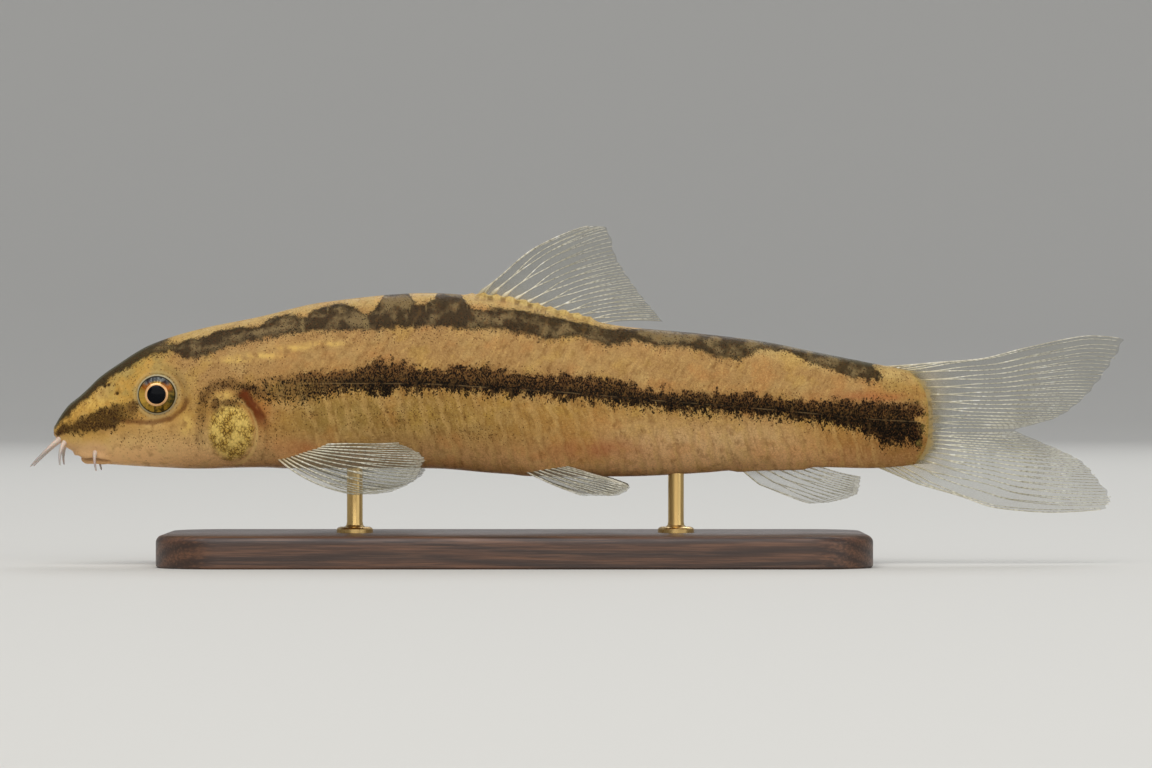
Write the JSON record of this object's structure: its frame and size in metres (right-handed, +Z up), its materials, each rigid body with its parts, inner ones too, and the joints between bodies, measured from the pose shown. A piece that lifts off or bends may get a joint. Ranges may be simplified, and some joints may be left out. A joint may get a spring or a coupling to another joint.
{
  "type": "black-lined loach, life-size display model",
  "caption": "Slender two-striped loach with barbels, raised dorsal fin and forked tail, held in swimming pose over a wooden base by short rods.",
  "frame": {"origin": "middle of the stand's underside", "axes": "+Z up, -X towards the snout, -Y towards the fish's left side"},
  "size_m": [0.1026, 0.028, 0.0317],
  "materials": {
    "skin": "wet fish skin in tan and gold with two blackish stripes",
    "belly_skin": "pale wet skin of the lower jaw",
    "gill_cover": "golden wet skin with fine dark dots",
    "eye": "polished, dark pupil in an olive and gold iris",
    "barbel": "pale pinkish flesh",
    "fin": "translucent membrane on pale rays",
    "stand_wood": "satin dark walnut",
    "stand_metal": "brushed"
  },
  "bodies": {
    "root": {"head": "skin", "lower_jaw": "belly_skin", "trunk": "skin", "tail_stalk": "skin", "gill_cover_left": "gill_cover", "gill_cover_right": "gill_cover", "eye_left": "eye", "eye_right": "eye", "barbel_front_left": "barbel", "barbel_front_right": "barbel", "barbel_middle_left": "barbel", "barbel_middle_right": "barbel", "barbel_mouth_corner_left": "barbel", "barbel_mouth_corner_right": "barbel", "dorsal_fin": "fin", "anal_fin": "fin", "caudal_upper_lobe": "fin", "caudal_lower_lobe": "fin", "pectoral_fin_left": "fin", "pectoral_fin_right": "fin", "pelvic_fin_left": "fin", "pelvic_fin_right": "fin", "stand_base": "stand_wood", "stand_rod_front": "stand_metal", "stand_rod_rear": "stand_metal"}
  },
  "joints": []
}
